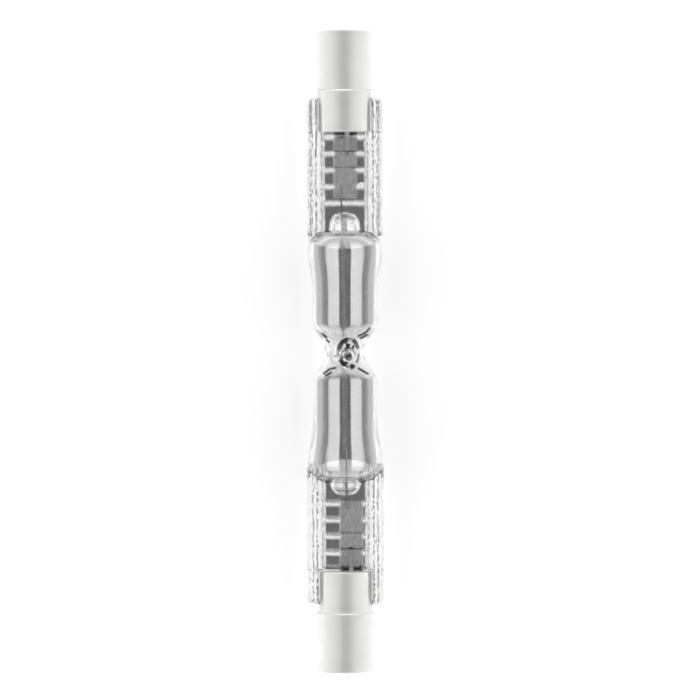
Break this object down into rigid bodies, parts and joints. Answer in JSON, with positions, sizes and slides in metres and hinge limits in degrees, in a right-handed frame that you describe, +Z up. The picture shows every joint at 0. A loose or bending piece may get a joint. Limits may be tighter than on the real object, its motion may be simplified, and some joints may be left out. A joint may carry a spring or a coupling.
{
  "type": "linear halogen bulb",
  "caption": "Double-ended linear halogen bulb: a clear quartz envelope with a waist, a coiled filament, ribbed flat seals with foils, and white ceramic caps with recessed contacts.",
  "frame": {"origin": "the middle of the bulb's axis, which is the centre of its bounding box", "axes": "+Y along the bulb towards end a, the top end in the picture; +Z up, out of the side with the exhaust tip; the flat seals lie in the XY plane"},
  "size_m": [0.0094, 0.078, 0.0092],
  "materials": {
    "quartz_glass": "clear fire-polished quartz",
    "tungsten_wire": "drawn dark tungsten wire, coiled",
    "molybdenum_wire": "drawn grey wire",
    "molybdenum_foil": "thin rolled foil, slightly mottled",
    "cap_cement": "set white cement, matt",
    "white_ceramic": "pressed and fired white steatite, unglazed and smooth",
    "nickel_contact": "turned and nickel plated"
  },
  "bodies": {
    "root": {"quartz_envelope": "quartz_glass", "filament": "tungsten_wire", "inner_lead_a": "molybdenum_wire", "inner_lead_b": "molybdenum_wire", "molybdenum_foil_a": "molybdenum_foil", "molybdenum_foil_b": "molybdenum_foil", "outer_lead_a": "molybdenum_wire", "outer_lead_b": "molybdenum_wire", "cement_a": "cap_cement", "cement_b": "cap_cement", "ceramic_cap_a": "white_ceramic", "ceramic_cap_b": "white_ceramic", "contact_button_a": "nickel_contact", "contact_button_b": "nickel_contact"}
  },
  "joints": []
}
